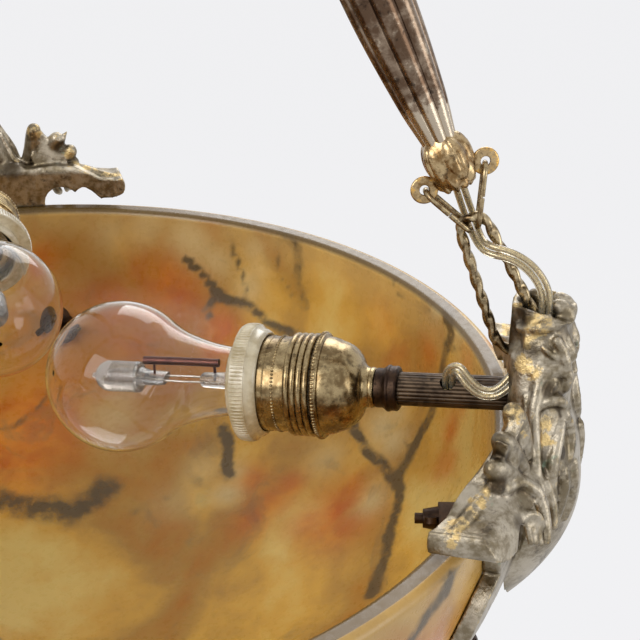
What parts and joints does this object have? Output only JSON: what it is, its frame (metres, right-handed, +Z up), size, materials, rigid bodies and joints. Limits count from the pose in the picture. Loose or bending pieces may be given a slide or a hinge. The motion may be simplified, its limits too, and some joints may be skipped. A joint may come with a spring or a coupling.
{
  "type": "alabaster bowl pendant",
  "caption": "Alabaster bowl pendant on hanging rods, with lamps inside the bowl on arms from cast brackets.",
  "frame": {"origin": "centre of the ceiling plate's top face, where it meets the ceiling", "axes": "+Z up, out of the ceiling plate's top face; +X to the side in the picture, -Y towards its camera, with one bracket at -30 degrees from +X"},
  "size_m": [0.4444, 0.4406, 0.705],
  "materials": {
    "alabaster": "translucent honey alabaster, polished",
    "cast_metal": "aged silvery-gilt casting with worn gold edges",
    "dark_metal": "dark bronze patina",
    "steel": "tarnished",
    "porcelain": "glazed white",
    "cream_ceramic": "unglazed",
    "bulb_glass": "clear",
    "capsule_glass": "inner capsule with dark support",
    "cap_metal": "satin screw cap",
    "clear_flex": "clear sheath over copper strands",
    "packing": "soft packing",
    "black_plastic": "moulded"
  },
  "bodies": {
    "ceiling_mount": {"ceiling_plate": "steel", "ceiling_loop": "dark_metal", "terminal_block": "black_plastic"},
    "canopy": {"ceiling_cup": "cast_metal", "cup_ring": "cast_metal"},
    "swivel": {"swivel_link": "dark_metal"},
    "bulb_a": {"bulb_glass_a": "bulb_glass", "bulb_cap_a": "cap_metal", "bulb_capsule_a": "capsule_glass"},
    "ring_a": {"shade_ring_a": "porcelain"},
    "bulb_b": {"bulb_glass_b": "bulb_glass", "bulb_cap_b": "cap_metal", "bulb_capsule_b": "capsule_glass"},
    "ring_b": {"shade_ring_b": "porcelain"},
    "bulb_c": {"bulb_glass_c": "bulb_glass", "bulb_cap_c": "cap_metal", "bulb_capsule_c": "capsule_glass"},
    "ring_c": {"shade_ring_c": "porcelain"},
    "pendant": {"bracket_a": "cast_metal", "bracket_b": "cast_metal", "bracket_c": "cast_metal", "arm_tube_a": "dark_metal", "arm_tube_b": "dark_metal", "arm_tube_c": "dark_metal", "arm_collar_a": "cast_metal", "arm_collar_b": "cast_metal", "arm_collar_c": "cast_metal", "holder_cap_a": "dark_metal", "holder_cap_b": "dark_metal", "holder_cap_c": "dark_metal", "holder_shell_a": "dark_metal", "holder_shell_b": "dark_metal", "holder_shell_c": "dark_metal", "holder_core_a": "cream_ceramic", "holder_core_b": "cream_ceramic", "holder_core_c": "cream_ceramic", "twisted_link_a": "dark_metal", "twisted_link_b": "dark_metal", "twisted_link_c": "dark_metal", "rod_a": "cast_metal", "rod_b": "cast_metal", "rod_c": "cast_metal", "flex_a": "clear_flex", "flex_b": "clear_flex", "flex_c": "clear_flex", "alabaster_bowl": "alabaster", "wire_links_lower": "dark_metal", "wire_links_upper": "dark_metal", "rod_buds_lower": "cast_metal", "rod_buds_upper": "cast_metal", "holder_contacts": "cap_metal", "clamp_screws": "dark_metal", "clamp_washers": "packing", "wing_nuts": "dark_metal", "crown": "cast_metal", "crown_finial": "cast_metal"}
  },
  "joints": [
    {"name": "canopy_slide", "type": "slide", "parent": "ceiling_mount", "child": "canopy", "axis": [0, 0, -1], "range_m": [0, 0.032]},
    {"name": "swivel_swing", "type": "hinge", "parent": "ceiling_mount", "child": "swivel", "pos_m": [0, 0, -0.071], "axis": [1, 0, 0], "range_deg": [-8, 8]},
    {"name": "pendant_swing", "type": "hinge", "parent": "swivel", "child": "pendant", "pos_m": [0, 0, -0.094], "axis": [0, 1, 0], "range_deg": [-8, 8]},
    {"name": "bulb_a_turn", "type": "hinge", "parent": "pendant", "child": "bulb_a", "pos_m": [0.1028, -0.05935, -0.54017], "axis": [-0.8631, 0.4983, -0.0819], "continuous": true},
    {"name": "ring_a_turn", "type": "hinge", "parent": "pendant", "child": "ring_a", "pos_m": [0.09331, -0.05387, -0.54108], "axis": [-0.8631, 0.4983, -0.0819], "continuous": true},
    {"name": "bulb_b_turn", "type": "hinge", "parent": "pendant", "child": "bulb_b", "pos_m": [0, 0.1187, -0.54017], "axis": [0, -0.9966, -0.0819], "continuous": true},
    {"name": "ring_b_turn", "type": "hinge", "parent": "pendant", "child": "ring_b", "pos_m": [0, 0.10774, -0.54108], "axis": [0, -0.9966, -0.0819], "continuous": true},
    {"name": "bulb_c_turn", "type": "hinge", "parent": "pendant", "child": "bulb_c", "pos_m": [-0.1028, -0.05935, -0.54017], "axis": [0.8631, 0.4983, -0.0819], "continuous": true},
    {"name": "ring_c_turn", "type": "hinge", "parent": "pendant", "child": "ring_c", "pos_m": [-0.09331, -0.05387, -0.54108], "axis": [0.8631, 0.4983, -0.0819], "continuous": true}
  ]
}
